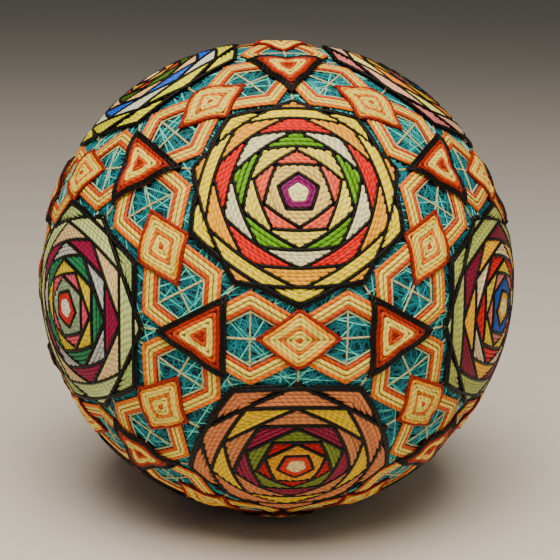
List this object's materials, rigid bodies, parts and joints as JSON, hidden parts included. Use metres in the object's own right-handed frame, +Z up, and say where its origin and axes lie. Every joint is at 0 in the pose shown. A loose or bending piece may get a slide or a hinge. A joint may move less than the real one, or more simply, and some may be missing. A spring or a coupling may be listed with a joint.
{
  "type": "temari ball",
  "caption": "Wound thread ball, stitched all over with nested five-sided roses, small diamonds, triangles and zigzag bands, with a small flat to rest on.",
  "frame": {"origin": "middle of the small pressed flat under the ball, on the surface that it rests on", "axes": "+Z up through the ball's centre; -Y is the front, with one rose above the middle and one below; X runs across the front"},
  "size_m": [0.097, 0.097, 0.0965],
  "materials": {
    "wrap_thread": "soft matt sewing thread wound at random",
    "band_thread": "satin cotton embroidery thread, cream rows edged with orange",
    "triangle_thread": "satin cotton embroidery thread, cream to red-brown rows edged with black",
    "rose_front_high": "satin cotton embroidery thread, each layer edged with black",
    "rose_front_low": "satin cotton embroidery thread, each layer edged with black",
    "rose_back_high": "satin cotton embroidery thread, each layer edged with black",
    "rose_back_low": "satin cotton embroidery thread, each layer edged with black",
    "rose_top_left": "satin cotton embroidery thread, each layer edged with black",
    "rose_top_right": "satin cotton embroidery thread, each layer edged with black",
    "rose_base_left": "satin cotton embroidery thread, each layer edged with black",
    "rose_base_right": "satin cotton embroidery thread, each layer edged with black",
    "rose_side_left_front": "satin cotton embroidery thread, each layer edged with black",
    "rose_side_right_front": "satin cotton embroidery thread, each layer edged with black",
    "rose_side_left_back": "satin cotton embroidery thread, each layer edged with black",
    "rose_side_right_back": "satin cotton embroidery thread, each layer edged with black"
  },
  "bodies": {
    "root": {"wound_ball": "wrap_thread", "band_lattice": "band_thread", "rose_front_high": "rose_front_high", "rose_front_low": "rose_front_low", "rose_back_high": "rose_back_high", "rose_back_low": "rose_back_low", "rose_top_left": "rose_top_left", "rose_top_right": "rose_top_right", "rose_base_left": "rose_base_left", "rose_base_right": "rose_base_right", "rose_side_left_front": "rose_side_left_front", "rose_side_right_front": "rose_side_right_front", "rose_side_left_back": "rose_side_left_back", "rose_side_right_back": "rose_side_right_back", "triangle_01": "triangle_thread", "triangle_02": "triangle_thread", "triangle_03": "triangle_thread", "triangle_04": "triangle_thread", "triangle_05": "triangle_thread", "triangle_06": "triangle_thread", "triangle_07": "triangle_thread", "triangle_08": "triangle_thread", "triangle_09": "triangle_thread", "triangle_10": "triangle_thread", "triangle_11": "triangle_thread", "triangle_12": "triangle_thread", "triangle_13": "triangle_thread", "triangle_14": "triangle_thread", "triangle_15": "triangle_thread", "triangle_16": "triangle_thread", "triangle_17": "triangle_thread", "triangle_18": "triangle_thread", "triangle_19": "triangle_thread", "triangle_20": "triangle_thread"}
  },
  "joints": []
}
